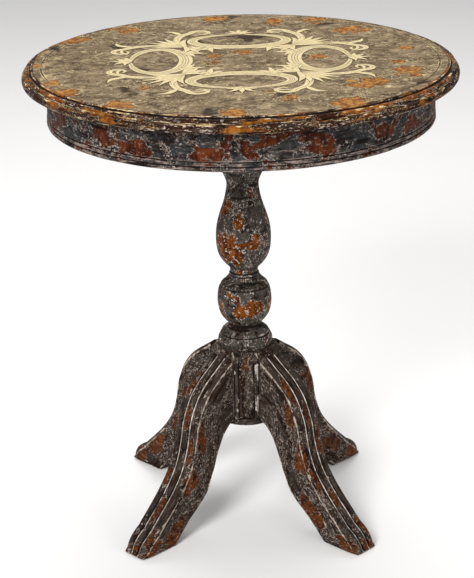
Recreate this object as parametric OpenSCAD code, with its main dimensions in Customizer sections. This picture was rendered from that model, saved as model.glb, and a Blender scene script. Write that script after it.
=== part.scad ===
// Tilt-top pedestal table: a round top with a frieze band, hinged on a block that caps a turned
// pillar, which stands on a hub with four splayed, reeded legs.
// The origin is on the floor under the pillar's axis. +Z is up and the front is towards -Y.
// The top tilts about a line near the block's front edge, until its face looks to the front.

/* [Top] */
// Height of the table's surface above the floor
table_h = 745; // [740:1:755]
// Diameter of the round top
top_d = 660; // [650:2:680]
// Thickness of the top
top_t = 22; // [20:1:24]

/* [Frieze] */
// Height of the frieze band under the top
frieze_h = 64; // [56:1:72]
// Distance from the top's edge in to the face of the frieze
frieze_inset = 35; // [32:1:40]
// Wall of the frieze band
frieze_wall = 20; // [16:1:22]
// Number of glue blocks between the frieze and the top
glue_blocks = 12; // [6:6:12]

/* [Tilting block] */
// Width of the block between the two bearers
block_w = 190; // [180:2:200]
// Length of the block from front to back
block_l = 238; // [230:2:244]
// Thickness of the block, and depth of the bearers
block_t = 28; // [26:1:30]
// Width of a bearer
bearer_w = 24; // [20:1:26]
// Radius of a pivot pin
pin_r = 5; // [4:0.5:6]
// Radial clearance of a running fit
running_fit = 0.05; // [0.03:0.01:0.1]

/* [Pillar] */
// Radius of the vase at its widest
vase_r = 43.3; // [41:0.1:45]
// Radius of the ball under the vase
ball_r = 42.9; // [41:0.1:45]
// Radius of the neck between the vase and the ball
neck_r = 22; // [20:0.5:24]
// Radius of the round tenon at each end
tenon_r = 18; // [16:0.5:19]

/* [Hub and legs] */
// Width of the eight-sided hub across its flats
hub_w = 110; // [106:1:116]
// Height of the hub's top above the floor
hub_top = 283; // [280:1:286]
// Height of the hub
hub_h = 109; // [106:1:112]
// Thickness of a leg
leg_w = 48; // [44:1:50]
// Depth of the grooves between the reeds of a leg
reed_depth = 1.8; // [1:0.1:3]
// Radius of a leg dowel
dowel_r = 6; // [5:0.5:7]

/* [Catch] */
// Radius of the sliding bolt
bolt_r = 4; // [3.5:0.5:4.5]
// Travel of the sliding bolt
bolt_travel = 16; // [12:1:16]

/* [Hidden] */
$fn = 96;

// Colours
slate = "#4a4744";
taupe = "#8f8064";
raw_wood = "#8a5a34";
brass = "#b08d4f";
steel = "#8d8d90";

// Heights
top_under = table_h - top_t;
frieze_low = top_under - frieze_h;
block_low = top_under - block_t;
hub_low = hub_top - hub_h;

// Radii and half widths
top_r = top_d / 2;
frieze_r = top_r - frieze_inset;
frieze_in = frieze_r - frieze_wall;
rest_gap = 0.3;
side_gap = 0.5;
bearer_in = block_w / 2 + side_gap;
bearer_out = bearer_in + bearer_w;
bearer_end = sqrt(pow(frieze_in - 11, 2) - pow(bearer_out, 2));
hub_r = hub_w / 2;

// Pivot line, parallel to X: as far from the block's front as from its top
pivot_z = top_under - block_t / 2;
pivot_y = -block_l / 2 + block_t / 2;
block_front = -block_l / 2 + rest_gap;
block_back = block_l / 2;
block_top = top_under - rest_gap;
pin_depth = 35;
bush_wall = 2;

// Screws: a countersunk head and a plain shank
screw_shank_r = 2;
screw_head_r = 4.4;
screw_head_h = 3;
bearer_screw_l = 41;
cap_screw_l = 40;
cap_screw_ring = 34;

// Catch
bolt_z = top_under - 10;
bolt_tip = block_back + 3;
bolt_l = 70;
keeper_t = 1.5;
catch_plate_t = 2;
knob_y = bolt_tip + 38;

// Dowels of the legs
dowel_levels = [192, 240];
dowel_in = 25;
dowel_out = 85;
leg_azimuths = [-45, 45, 135, 225];

// A point between b and c on a smooth curve that also passes a and d
function curve_point(a, b, c, d, t) =
  0.5 * (2 * b + (c - a) * t + (2 * a - 5 * b + 4 * c - d) * t * t
    + (3 * b - a - 3 * c + d) * t * t * t);

// A smooth curve through the stations of p, in the given number of steps between two of them
function curve(p, steps = 4) = concat(
  [for (i = [0:len(p) - 2], k = [0:steps - 1])
    curve_point(p[max(i - 1, 0)], p[i], p[i + 1], p[min(i + 2, len(p) - 1)], k / steps)],
  [p[len(p) - 1]]);

// Part of an ellipse with half axes rx and ry, from angle a0 to a1
function oval(cx, cy, rx, ry, a0, a1, steps = 8) =
  [for (k = [0:steps]) let (a = a0 + (a1 - a0) * k / steps) [cx + rx * cos(a), cy + ry * sin(a)]];

// The same points, moved
function shifted(p, dx, dy) = [for (q = p) [q[0] + dx, q[1] + dy]];

// Repeats its children for the right side and mirrored for the left
module both_sides() {
  children();
  mirror([1, 0, 0]) children();
}

// A countersunk screw that stands on its head at the origin and points up
module screw(length) {
  cylinder(h = screw_head_h, r1 = screw_head_r, r2 = screw_shank_r);
  cylinder(h = length - screw_shank_r, r = screw_shank_r);
  translate([0, 0, length - screw_shank_r])
    cylinder(h = screw_shank_r, r1 = screw_shank_r, r2 = 0.3);
}

// ---- Pillar ----

// The turned outline, from the hub's top up to the block: collar, ball, neck, vase and capital
function pillar_outline() = concat(
  [[tenon_r, hub_low], [tenon_r, hub_top]],
  [[40, hub_top]],
  oval(39, hub_top + 8.5, 4.4, 8.5, -78, 62),
  [[40, hub_top + 19], [37.6, hub_top + 20], [38.4, hub_top + 22], [37.2, hub_top + 24]],
  curve([[34, hub_top + 27], [28, hub_top + 31], [24.8, hub_top + 35]], 4),
  curve([[26, hub_top + 37.5], [33, hub_top + 45], [39.4, hub_top + 55], [ball_r, hub_top + 71],
    [ball_r - 0.9, hub_top + 88], [39.6, hub_top + 98]], 4),
  [[37.2, hub_top + 100.5], [37.6, hub_top + 102.5], [36, hub_top + 104.5]],
  curve([[34.6, hub_top + 105.5], [29, hub_top + 111], [23.6, hub_top + 118]], 4),
  [[24, hub_top + 121], [neck_r, hub_top + 122.5], [neck_r, hub_top + 131]],
  [[24.6, hub_top + 132], [24.6, hub_top + 134]],
  curve([[27, hub_top + 135], [34.6, hub_top + 144], [40.8, hub_top + 157], [vase_r, hub_top + 178],
    [vase_r - 1.6, hub_top + 200], [36, hub_top + 221], [29, hub_top + 243],
    [25, hub_top + 266], [28, hub_top + 279], [34, hub_top + 291]], 4),
  [[38, hub_top + 295], [38, hub_top + 300], [34, hub_top + 302]],
  curve([[32, hub_top + 306], [29.5, hub_top + 330], [32, block_low - 50], [40, block_low - 24]], 4),
  oval(40, block_low - 14, 8, 9, -80, 80),
  [[41, block_low], [tenon_r, block_low]],
  [[tenon_r, block_top]]);

module pillar() color(slate) difference() {
  rotate_extrude() polygon(concat([[0, hub_low]], pillar_outline(), [[0, block_top]]));
  wedge_shapes();
}

// Two hardwood wedges that spread the upper tenon in the block
module wedge_shapes() {
  wedge_l = 24;
  for (side = [-1, 1])
    intersection() {
      translate([0, 0, block_top - wedge_l]) cylinder(h = wedge_l, r = tenon_r);
      translate([0, side * tenon_r * 0.36, block_top]) rotate([90, 0, 90])
        linear_extrude(height = 3 * tenon_r, center = true)
          polygon([[-1.6, 0], [1.6, 0], [0.6, -wedge_l], [-0.6, -wedge_l]]);
    }
}

module pillar_wedges() color(raw_wood) wedge_shapes();

// ---- Hub ----

module dowel_shapes() {
  for (a = leg_azimuths, z = dowel_levels)
    rotate([0, 0, a]) translate([dowel_in, 0, z]) rotate([0, 90, 0])
      cylinder(h = dowel_out - dowel_in, r = dowel_r);
}

module cap_screw_shapes() {
  cap_low = hub_low - 16.5;
  for (a = [0, 120, 240])
    rotate([0, 0, a]) translate([cap_screw_ring, 0, cap_low]) screw(cap_screw_l);
}

// An eight-sided block whose four free faces are panels between two upright beads. Its top edge
// is turned away to meet the pillar's collar.
module leg_hub() color(slate) difference() {
  bead_r = 3.6;
  bead_x = 15.5;
  shoulder = 16;
  intersection() {
    union() {
      translate([0, 0, hub_low]) rotate([0, 0, 22.5])
        cylinder(h = hub_h, r = hub_r / cos(22.5), $fn = 8);
      for (a = [0:90:270], s = [-1, 1])
        rotate([0, 0, a]) translate([hub_r - 1, s * bead_x, hub_low + 3])
          cylinder(h = hub_h - 3, r = bead_r);
    }
    translate([0, 0, hub_top]) rotate_extrude()
      polygon([[0, -hub_h], [hub_r + 6, -hub_h], [hub_r + 6, -shoulder], [hub_r + 6 - shoulder, 0], [0, 0]]);
  }
  translate([0, 0, hub_low - 1]) cylinder(h = hub_h + 2, r = tenon_r);
  dowel_shapes();
  cap_screw_shapes();
}

module leg_dowels() color(raw_wood) dowel_shapes();

// A turned cap under the hub
module hub_cap() color(slate) difference() {
  cap_h = 16.5;
  rotate_extrude() polygon(concat(
    [[0, hub_low - cap_h], [44, hub_low - cap_h]],
    oval(46, hub_low - 9, 6.5, 7, -75, 70),
    [[49, hub_low - 1.5], [49.5, hub_low], [0, hub_low]]));
  cap_screw_shapes();
}

module hub_cap_screws() color(steel) cap_screw_shapes();

// ---- Legs ----

// The back of a leg as a curve from the hub to the toe, over the knee and down the ankle
leg_back = curve([[hub_r, 277], [75, 263], [100, 245], [121, 221], [136, 188], [142.5, 157],
  [151, 130], [164, 105], [188, 75.5], [224, 40.5]], 4);
// The bulging toe pad
leg_toe = curve([[227, 37], [238, 28.5], [249, 19.5], [256.5, 9], [258.5, 3]], 4);
// The hollow under the leg, in two sweeps that meet at the heel of the ankle
leg_arch = curve([[hub_r, 169], [66, 162], [78, 148.5], [89, 127], [97, 106], [105, 87.5],
  [116, 64.5]], 4);
leg_heel = curve([[116, 64.5], [131, 50.5], [148, 38], [167, 21.5], [188, 0]], 3);

// The leg's outline with its back let in by the given depth
function leg_outline(depth) = concat(
  [[hub_r, 277 - depth]],
  [for (q = shifted(leg_back, -0.72 * depth, -0.69 * depth)) if (q[0] > hub_r) q],
  shifted(leg_toe, -0.5 * depth, -0.3 * depth),
  [[257, 0]],
  [for (i = [len(leg_heel) - 1:-1:1]) leg_heel[i]],
  [for (i = [len(leg_arch) - 1:-1:0]) leg_arch[i]]);

module leg_slab(width, depth)
  rotate([90, 0, 0]) linear_extrude(height = width, center = true) polygon(leg_outline(depth));

// A leg at the given azimuth: a grooved slab whose three reeds run from the hub to the toe
module leg(azimuth) {
  groove_w = 2.4;
  reed_w = (leg_w - 2 * groove_w) / 3;
  color(slate) difference() {
    rotate([0, 0, azimuth]) {
      leg_slab(leg_w, reed_depth);
      for (s = [-1:1])
        translate([0, s * (reed_w + groove_w), 0]) rotate([90, 0, 0])
          linear_extrude(height = reed_w, center = true) polygon(leg_outline(0));
    }
    dowel_shapes();
  }
}

module leg_front_right() leg(leg_azimuths[0]);
module leg_back_right() leg(leg_azimuths[1]);
module leg_back_left() leg(leg_azimuths[2]);
module leg_front_left() leg(leg_azimuths[3]);

// ---- Tilting block ----

module pin_shapes() {
  both_sides()
    translate([block_w / 2 - pin_depth, pivot_y, pivot_z]) rotate([0, 90, 0])
      cylinder(h = pin_depth + side_gap + bearer_w - 1, r = pin_r);
}

module keeper_screw_shapes() {
  both_sides()
    translate([10, block_back + keeper_t, bolt_z]) rotate([90, 0, 0]) screw(14);
}

// The front top edge is rounded about the pivot line, and the front face stops the tilted top
module tilt_block() color(slate) difference() {
  socket_deep = bolt_travel;
  round_r = block_t / 2 - rest_gap;
  rotate([90, 0, 90]) linear_extrude(height = block_w, center = true)
    polygon(concat([[block_back, block_low], [block_back, block_top]],
      oval(pivot_y, pivot_z, round_r, round_r, 90, 180),
      [[block_front, block_low]]));
  translate([0, 0, block_low - 1]) cylinder(h = block_t + 2, r = tenon_r);
  pin_shapes();
  keeper_screw_shapes();
  translate([0, block_back + 1, bolt_z]) rotate([90, 0, 0])
    cylinder(h = socket_deep + 1, r = bolt_r + 0.5);
}

module pivot_pins() color(brass) pin_shapes();

// A brass plate round the mouth of the bolt's socket
module keeper_plate() color(brass) difference() {
  keeper_w = 29;
  translate([-keeper_w / 2, block_back, bolt_z - 9]) cube([keeper_w, keeper_t, 18]);
  translate([0, block_back + 5, bolt_z]) rotate([90, 0, 0]) cylinder(h = 10, r = bolt_r + 0.5);
  keeper_screw_shapes();
}

module keeper_screws() color(brass) keeper_screw_shapes();

// ---- Top ----

module bearer_screw_shapes() {
  both_sides()
    for (y = [-0.8, 0, 0.8] * bearer_end)
      translate([bearer_in + bearer_w / 2, y, block_low]) screw(bearer_screw_l);
}

module catch_screw_shapes() {
  for (x = [-12, 12], y = [9, 51])
    translate([x, bolt_tip + y, top_under - catch_plate_t])
      cylinder(h = 14, r = 1.5);
  for (x = [-12, 12], y = [9, 51])
    translate([x, bolt_tip + y, top_under - catch_plate_t - 1.5])
      cylinder(h = 1.5, r1 = 2.4, r2 = 3);
}

// The moulded edge from the underside up: torus, quirk, ovolo, step and a fine scored ring
function top_outline() = concat(
  [[0, -top_t], [top_r - 3.2, -top_t]],
  oval(top_r - 3.2, -top_t + 6.3, 3.2, 6.3, -90, 90),
  [[top_r - 5.6, -top_t + 12.6]],
  oval(top_r - 10, -top_t + 13, 6.2, 6.6, 0, 76),
  [[top_r - 10.5, -3.2], [top_r - 13.6, -3.4], [top_r - 14.2, -0.4], [top_r - 14.6, 0]],
  [[top_r - 29, 0], [top_r - 30, -0.8], [top_r - 31, 0], [0, 0]]);

module top_board() color(taupe) difference() {
  translate([0, 0, table_h]) rotate_extrude() polygon(top_outline());
  bearer_screw_shapes();
  catch_screw_shapes();
}

// A bent band with two reeds along its lower edge
module frieze_band() color(slate) {
  bead_h = 7;
  quirk = 1.9;
  translate([0, 0, frieze_low]) rotate_extrude() polygon(concat(
    [[frieze_in, 0], [frieze_r - quirk, 0]],
    oval(frieze_r - quirk, bead_h / 2, quirk + 0.8, bead_h / 2 - 0.3, -88, 88),
    [[frieze_r - quirk - 0.4, bead_h]],
    oval(frieze_r - quirk, bead_h * 1.5, quirk + 0.4, bead_h / 2 - 0.3, -88, 88),
    [[frieze_r - quirk - 0.4, 2 * bead_h], [frieze_r - 0.4, 2 * bead_h + 0.8]],
    [[frieze_r - 0.4, frieze_h], [frieze_in, frieze_h]]));
}

module frieze_glue_blocks() color(raw_wood) {
  block_side = 20;
  block_angle = 8;
  step = 360 / glue_blocks;
  for (k = [0:glue_blocks - 1])
    rotate([0, 0, step * (k + 0.5) - block_angle / 2]) rotate_extrude(angle = block_angle)
      polygon([[frieze_in, top_under], [frieze_in, top_under - block_side],
        [frieze_in - 3, top_under - block_side], [frieze_in - block_side, top_under - 3],
        [frieze_in - block_side, top_under]]);
}

// A bearer on the right; its bush hole is centred on the pivot line
module bearer() difference() {
  end_bevel = 10;
  translate([bearer_in, 0, 0]) rotate([90, 0, 90]) linear_extrude(height = bearer_w)
    polygon([[-bearer_end, top_under], [-bearer_end, block_low + end_bevel],
      [-bearer_end + end_bevel, block_low], [bearer_end - end_bevel, block_low],
      [bearer_end, block_low + end_bevel], [bearer_end, top_under]]);
  translate([bearer_in - 1, pivot_y, pivot_z]) rotate([0, 90, 0])
    cylinder(h = bearer_w + 2, r = pin_r + running_fit + bush_wall);
  bearer_screw_shapes();
}

module bearer_right() color(raw_wood) bearer();
module bearer_left() color(raw_wood) mirror([1, 0, 0]) bearer();

module bearer_screws() color(steel) bearer_screw_shapes();

// Brass bushes in the bearers, in which the pins turn
module pivot_bushes() color(brass) both_sides() difference() {
  bush_r = pin_r + running_fit + bush_wall;
  translate([bearer_in, pivot_y, pivot_z]) rotate([0, 90, 0]) cylinder(h = bearer_w, r = bush_r);
  translate([bearer_in - 1, pivot_y, pivot_z]) rotate([0, 90, 0])
    cylinder(h = bearer_w + 2, r = pin_r + running_fit);
}

// ---- Catch ----

// The plate under the top with the two guides of the bolt
module catch_plate() color(brass) difference() {
  plate_w = 36;
  guide_w = 15;
  guide_l = 12;
  guide_low = bolt_z - bolt_r - 3;
  union() {
    translate([-plate_w / 2, bolt_tip + 2, top_under - catch_plate_t])
      cube([plate_w, 60, catch_plate_t]);
    for (y = [4, 46])
      translate([-guide_w / 2, bolt_tip + y, guide_low])
        cube([guide_w, guide_l, top_under - catch_plate_t - guide_low]);
  }
  translate([0, bolt_tip - 10, bolt_z]) rotate([-90, 0, 0])
    cylinder(h = 90, r = bolt_r + running_fit);
  catch_screw_shapes();
}

module catch_screws() color(brass) catch_screw_shapes();

// The threaded end of the knob inside the bolt
module knob_stud() translate([0, knob_y, bolt_z - bolt_r]) cylinder(h = bolt_r, r = 1.75);

module catch_bolt() color(brass) difference() {
  translate([0, bolt_tip, bolt_z]) rotate([-90, 0, 0]) {
    cylinder(h = 1.2, r1 = bolt_r - 1.2, r2 = bolt_r);
    translate([0, 0, 1.2]) cylinder(h = bolt_l - 1.2, r = bolt_r);
  }
  knob_stud();
}

// A turned knob that hangs from the bolt between its guides
module catch_knob() color(brass) {
  knob_stud();
  translate([0, knob_y, bolt_z - bolt_r]) rotate_extrude() polygon(concat(
    [[0, 0], [3.6, 0], [3.6, -2], [2.2, -3.5], [2.4, -5.5]],
    oval(0, -10.5, 5.6, 5.4, 62, -90),
    [[0, -15.9]]));
}

pillar();
pillar_wedges();
leg_hub();
leg_front_right();
leg_back_right();
leg_back_left();
leg_front_left();
leg_dowels();
hub_cap();
hub_cap_screws();
tilt_block();
pivot_pins();
keeper_plate();
keeper_screws();
top_board();
frieze_band();
frieze_glue_blocks();
bearer_left();
bearer_right();
bearer_screws();
pivot_bushes();
catch_plate();
catch_screws();
catch_bolt();
catch_knob();
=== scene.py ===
"""Tilt-top pedestal table: a round top painted with scrollwork, a turned pillar and four reeded legs.

Every painted piece has the same handmade finish: several coats of milk paint over stained beech,
rubbed through on the edges, chipped down to the wood and flecked with lime wax.
"""
import logging
import math
from dataclasses import dataclass, field, replace
from enum import Enum
from functools import partial
from typing import Any, Iterable, Sequence

import bpy
from mathutils import Matrix, Vector, noise


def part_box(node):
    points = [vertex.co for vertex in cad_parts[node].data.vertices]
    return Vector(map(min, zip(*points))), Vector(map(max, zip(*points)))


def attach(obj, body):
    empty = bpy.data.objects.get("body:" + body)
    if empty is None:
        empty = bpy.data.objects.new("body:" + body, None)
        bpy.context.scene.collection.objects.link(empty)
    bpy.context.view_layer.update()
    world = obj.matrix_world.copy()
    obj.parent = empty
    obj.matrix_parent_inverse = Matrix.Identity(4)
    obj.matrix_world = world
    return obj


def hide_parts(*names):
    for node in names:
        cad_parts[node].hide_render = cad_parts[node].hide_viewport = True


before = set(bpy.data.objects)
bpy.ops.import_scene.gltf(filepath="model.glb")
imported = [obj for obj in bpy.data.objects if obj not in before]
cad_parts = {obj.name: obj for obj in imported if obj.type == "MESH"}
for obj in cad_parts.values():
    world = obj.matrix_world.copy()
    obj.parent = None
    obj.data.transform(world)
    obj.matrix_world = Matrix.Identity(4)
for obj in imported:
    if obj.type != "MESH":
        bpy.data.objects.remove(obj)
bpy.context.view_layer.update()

MM = 0.001
SAME_PLACE = 0.01  # millimetres: points nearer than this are one
Point = tuple[float, float]
Tints = tuple[str, str]
Stretching = tuple[float, float, float]
Pulls = tuple[tuple[str, float], ...]
SectionPoint = tuple[float, str, float, dict[str, float]]
Piece = bpy.types.Object
Material = bpy.types.Material
Tree = bpy.types.NodeTree
Socket = bpy.types.NodeSocket
log = logging.getLogger("table")


# ---- Sizes that the frame gives ----


def low(node: str, axis: int) -> float:
    """The lowest coordinate of a CAD node along an axis, in millimetres."""
    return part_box(node)[0][axis] / MM


def high(node: str, axis: int) -> float:
    """The highest coordinate of a CAD node along an axis, in millimetres."""
    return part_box(node)[1][axis] / MM


TABLE_H = high("top_board", 2)
TOP_UNDER = low("top_board", 2)
TOP_R = high("top_board", 0)
FRIEZE_LOW = low("frieze_band", 2)
HUB_LOW = low("leg_hub", 2)
HUB_TOP = high("leg_hub", 2)
BLOCK_LOW = low("tilt_block", 2)
BLOCK_TOP = high("tilt_block", 2)
GOLDEN_TURN = 137.5  # degrees: places this far apart spread evenly round a ring


# ---- Outlines ----


def curve(stations: Sequence[Point], steps: int = 4) -> list[Point]:
    """Lays a smooth curve through stations.

    Args:
        stations: The points that the curve passes.
        steps: The number of steps between two stations.

    Returns:
        The points of the curve, both ends included.
    """
    points: list[Point] = []
    last = len(stations) - 1
    for i in range(last):
        a, b = stations[max(i - 1, 0)], stations[i]
        c, d = stations[i + 1], stations[min(i + 2, last)]
        for k in range(steps):
            t = k / steps
            points.append(tuple(
                0.5 * (2 * b[n] + (c[n] - a[n]) * t + (2 * a[n] - 5 * b[n] + 4 * c[n] - d[n]) * t * t
                       + (3 * b[n] - a[n] - 3 * c[n] + d[n]) * t ** 3)
                for n in (0, 1)))
    return points + [tuple(stations[last])]


def polar(origin: Point, angle: float, far: float) -> Point:
    """The point at a distance from the origin, in a direction in radians."""
    return origin[0] + far * math.cos(angle), origin[1] + far * math.sin(angle)


def oval(cx: float, cy: float, rx: float, ry: float, start: float, end: float,
         steps: int = 10) -> list[Point]:
    """Part of an ellipse.

    Args:
        cx, cy: The centre.
        rx, ry: The half axes.
        start, end: The first and last angle in degrees.
        steps: The number of steps.

    Returns:
        The points from the first angle to the last.
    """
    angles = [math.radians(start + (end - start) * k / steps) for k in range(steps + 1)]
    return [(cx + rx * math.cos(a), cy + ry * math.sin(a)) for a in angles]


def evenly(points: Sequence[Point], count: int) -> list[Point]:
    """Spreads points evenly along a line of points.

    Args:
        points: The line.
        count: How many points to spread, both ends included.

    Returns:
        The spread points.
    """
    lengths = [0.0]
    for a, b in zip(points, points[1:]):
        lengths.append(lengths[-1] + math.dist(a, b))
    spread: list[Point] = []
    i = 0
    for k in range(count):
        want = lengths[-1] * k / (count - 1)
        while i < len(points) - 2 and lengths[i + 1] < want:
            i += 1
        span = lengths[i + 1] - lengths[i] or 1.0
        t = min(max((want - lengths[i]) / span, 0.0), 1.0)
        a, b = points[i], points[i + 1]
        spread.append((a[0] + (b[0] - a[0]) * t, a[1] + (b[1] - a[1]) * t))
    return spread


def length_of(points: Sequence[Point]) -> float:
    """The length of a line of points."""
    return sum(math.dist(a, b) for a, b in zip(points, points[1:]))


# ---- Meshes ----


@dataclass
class Shell:
    """A mesh in the making, in millimetres, with the values of wear and painted light that its finish
    reads.
    """

    points: list[Vector] = field(default_factory=list)
    faces: list[tuple[int, ...]] = field(default_factory=list)
    zones: list[int] = field(default_factory=list)
    values: dict[str, list[float]] = field(default_factory=dict)
    flow: list[Vector] = field(default_factory=list)

    def add_point(self, point: Vector, flow: Vector | None = None, **values: float) -> int:
        """Adds one point.

        Args:
            point: Its place in millimetres.
            flow: Its place in the finish's own grain space, or None for its real place.
            values: Its values of wear and painted light by name; the others are 0.

        Returns:
            The point's number.
        """
        number = len(self.points)
        self.points.append(point)
        self.flow.append(flow or point)
        for name, value in values.items():
            column = self.values.setdefault(name, [])
            column += [0.0] * (number - len(column)) + [value]
        return number

    def add_face(self, corners: Iterable[int], zone: int = 0) -> None:
        """Adds one face with the number of its material."""
        self.faces.append(tuple(corners))
        self.zones.append(zone)

    def join_rings(self, first: Sequence[int], second: Sequence[int], zone: int = 0,
                   closed: bool = True) -> None:
        """Joins two rings of points with a strip of faces.

        Args:
            first: The numbers of the first ring, or one number for a pole.
            second: The numbers of the second ring, or one number for a pole.
            zone: The number of the material.
            closed: Whether the rings close on themselves.
        """
        count = max(len(first), len(second))
        for k in range(count if closed else count - 1):
            n = (k + 1) % count
            if len(first) == 1:
                self.add_face((first[0], second[n], second[k]), zone)
            elif len(second) == 1:
                self.add_face((first[k], first[n], second[0]), zone)
            else:
                self.add_face((first[k], first[n], second[n], second[k]), zone)

    def piece(self, name: str, finishes: Sequence[Material], sharp: float = 48.0) -> Piece:
        """Makes the Blender object.

        Args:
            name: The piece's name.
            finishes: The materials by zone.
            sharp: The angle in degrees above which an edge stays crisp.

        Returns:
            The object, linked to the scene.
        """
        mesh = bpy.data.meshes.new(name)
        mesh.from_pydata([p * MM for p in self.points], [], self.faces)
        for finish in finishes:
            mesh.materials.append(finish)
        mesh.polygons.foreach_set("material_index", self.zones)
        mesh.polygons.foreach_set("use_smooth", [True] * len(self.faces))
        mesh.set_sharp_from_angle(angle=math.radians(sharp))
        for value, numbers in self.values.items():
            layer = mesh.attributes.new(value, "FLOAT", "POINT")
            layer.data.foreach_set("value", numbers + [0.0] * (len(self.points) - len(numbers)))
        grain = mesh.attributes.new("flow", "FLOAT_VECTOR", "POINT")
        grain.data.foreach_set("vector", [c * MM for p in self.flow for c in p])
        mesh.validate()
        piece = bpy.data.objects.new(name, mesh)
        bpy.context.scene.collection.objects.link(piece)
        log.info("%s: %d faces", name, len(mesh.polygons))
        return piece


@dataclass(frozen=True)
class Rub:
    """A place where hands, knees or knocks have worn the paint."""

    azimuth: float  # degrees round the pillar's axis
    radius: float  # millimetres from the axis
    height: float  # millimetres above the floor
    reach: tuple[float, float]  # half size in millimetres, sideways and along
    strength: float = 1.0

    def at(self, point: Vector) -> float:
        """How strongly this place has worn the given point, from 0 to 1."""
        a = math.radians(self.azimuth)
        centre = Vector((*polar((0, 0), a, self.radius), self.height))
        away = point - centre
        side = math.hypot(away.x, away.y) / self.reach[0]
        rise = away.z / self.reach[1]
        return self.strength * max(0.0, 1.0 - side * side - rise * rise)


@dataclass(frozen=True)
class Stretch:
    """One stretch of a turned outline, with its own fineness and material."""

    points: list[Point]
    step: float
    zone: int = 0
    worn: float = 0.0
    moulded: bool = False  # whether the stretch has edges that wear


@dataclass
class Turning:
    """A piece turned round the upright axis from stretches of outline."""

    stretches: list[Stretch]
    segments: int
    closed: bool = False
    softness: int = 2  # smoothing passes that round the arrises as sanding does
    dent: float = 0.25  # depth of the dents in millimetres
    dent_size: float = 22.0
    rubs: tuple[Rub, ...] = ()
    reach: float = 2.0  # distance over which an edge counts as an edge
    crisp: float = 1.0  # the turn of an arris that wears fully, in radians
    hollow: float = 0.6  # the turn of a groove that fills with dirt and painted shade
    pole: float = 0.05  # a ring nearer to the axis than this is one point

    def profile(self) -> list[tuple[float, float, float, float, int, float]]:
        """The stretches as one line: radius, height, turn, dent share, zone and wear of each point."""
        rows: list[tuple[float, float, float, float, int, float]] = []
        for stretch in self.stretches:
            count = max(2, round(length_of(stretch.points) / stretch.step) + 1)
            line = evenly(stretch.points, count)
            for _ in range(self.softness if stretch.moulded else 0):
                line = [line[0]] + [
                    tuple((a[n] + 2 * b[n] + c[n]) / 4 for n in (0, 1))
                    for a, b, c in zip(line, line[1:], line[2:])] + [line[-1]]
            near = max(1, round(self.reach / stretch.step))
            for i, (r, z) in enumerate(line):
                turn = share = 0.0
                if stretch.moulded and 0 < i < count - 1:
                    a, c = line[max(i - near, 0)], line[min(i + near, count - 1)]
                    into = math.atan2(z - a[1], r - a[0])
                    turn = math.remainder(math.atan2(c[1] - z, c[0] - r) - into, math.tau)
                    share = 1.0
                if not rows or math.dist(rows[-1][:2], (r, z)) >= SAME_PLACE:
                    rows.append((r, z, turn, share, stretch.zone, stretch.worn))
        return rows

    def shell(self) -> Shell:
        """Turns the outline into a mesh with its arris, groove and rub values."""
        shell = Shell()
        rings: list[list[int]] = []
        rows = self.profile()
        for r, z, turn, share, _, worn in rows:
            arris = min(max(turn / self.crisp, 0.0), 1.0)
            groove = min(max(-turn / self.hollow, 0.0), 1.0)
            if r < self.pole:
                rings.append([shell.add_point(Vector((0, 0, z)), rub=worn)])
                continue
            ring = []
            for k in range(self.segments):
                angle = math.tau * k / self.segments
                place = Vector((*polar((0, 0), angle, r), z))
                knock = noise.noise(place / self.dent_size) * self.dent * share
                swell = 1.0 + knock / max(r, 1.0)
                place = Vector((place.x * swell, place.y * swell, z))
                rub = max([worn] + [spot.at(place) for spot in self.rubs])
                ring.append(shell.add_point(place, arris=arris, groove=groove, rub=rub))
            rings.append(ring)
        for i in range(len(rings) - 1):
            shell.join_rings(rings[i], rings[i + 1], rows[i + 1][4])
        if self.closed:
            shell.join_rings(rings[-1], rings[0], rows[0][4])
        return shell


# ---- Finishes ----


def linear(code: str) -> tuple[float, float, float, float]:
    """Turns an sRGB hex colour such as "#8a5a34" into a linear RGBA colour."""
    channels = [int(code[i:i + 2], 16) / 255 for i in (1, 3, 5)]
    return (*[c / 12.92 if c <= 0.04045 else ((c + 0.055) / 1.055) ** 2.4 for c in channels], 1.0)


def add(tree: Tree, kind: str, inputs: dict[str | int, Any] | None = None,
        **settings: Any) -> bpy.types.Node:
    """Adds one shader node.

    Args:
        tree: The material's node tree.
        kind: The node's type.
        inputs: A value or a linked output for each input, by name or number.
        settings: The node's own settings.

    Returns:
        The new node.
    """
    node = tree.nodes.new(kind)
    for name, value in settings.items():
        setattr(node, name, value)
    for name, value in (inputs or {}).items():
        if isinstance(value, Socket):
            tree.links.new(value, node.inputs[name])
        else:
            node.inputs[name].default_value = value
    return node


class Space(Enum):
    """Where a pattern takes its place from."""

    SOLID = "Object"  # the piece's own millimetres
    FLOW = "flow"  # the grain space of a carved piece: along, across and through


def begin(name: str, space: Space = Space.SOLID) -> tuple[Material, Tree, Socket]:
    """Starts a material.

    Args:
        name: The material's name.
        space: Where its patterns take their place from.

    Returns:
        The material, its node tree and the output that holds the place in metres.
    """
    material = bpy.data.materials.new(name)
    material.use_nodes = True
    tree = material.node_tree
    tree.nodes.clear()
    if space is Space.FLOW:
        place = add(tree, "ShaderNodeAttribute", attribute_name=space.value).outputs["Vector"]
    else:
        place = add(tree, "ShaderNodeTexCoord").outputs[space.value]
    return material, tree, place


def blend(tree: Tree, share: Socket, first: str | Socket, second: str | Socket) -> Socket:
    """Mixes two colours, each a hex code or an output, by the share of the second."""
    one, two = (linear(end) if isinstance(end, str) else end for end in (first, second))
    return add(tree, "ShaderNodeMix", {0: share, 6: one, 7: two}, data_type="RGBA").outputs[2]


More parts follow.
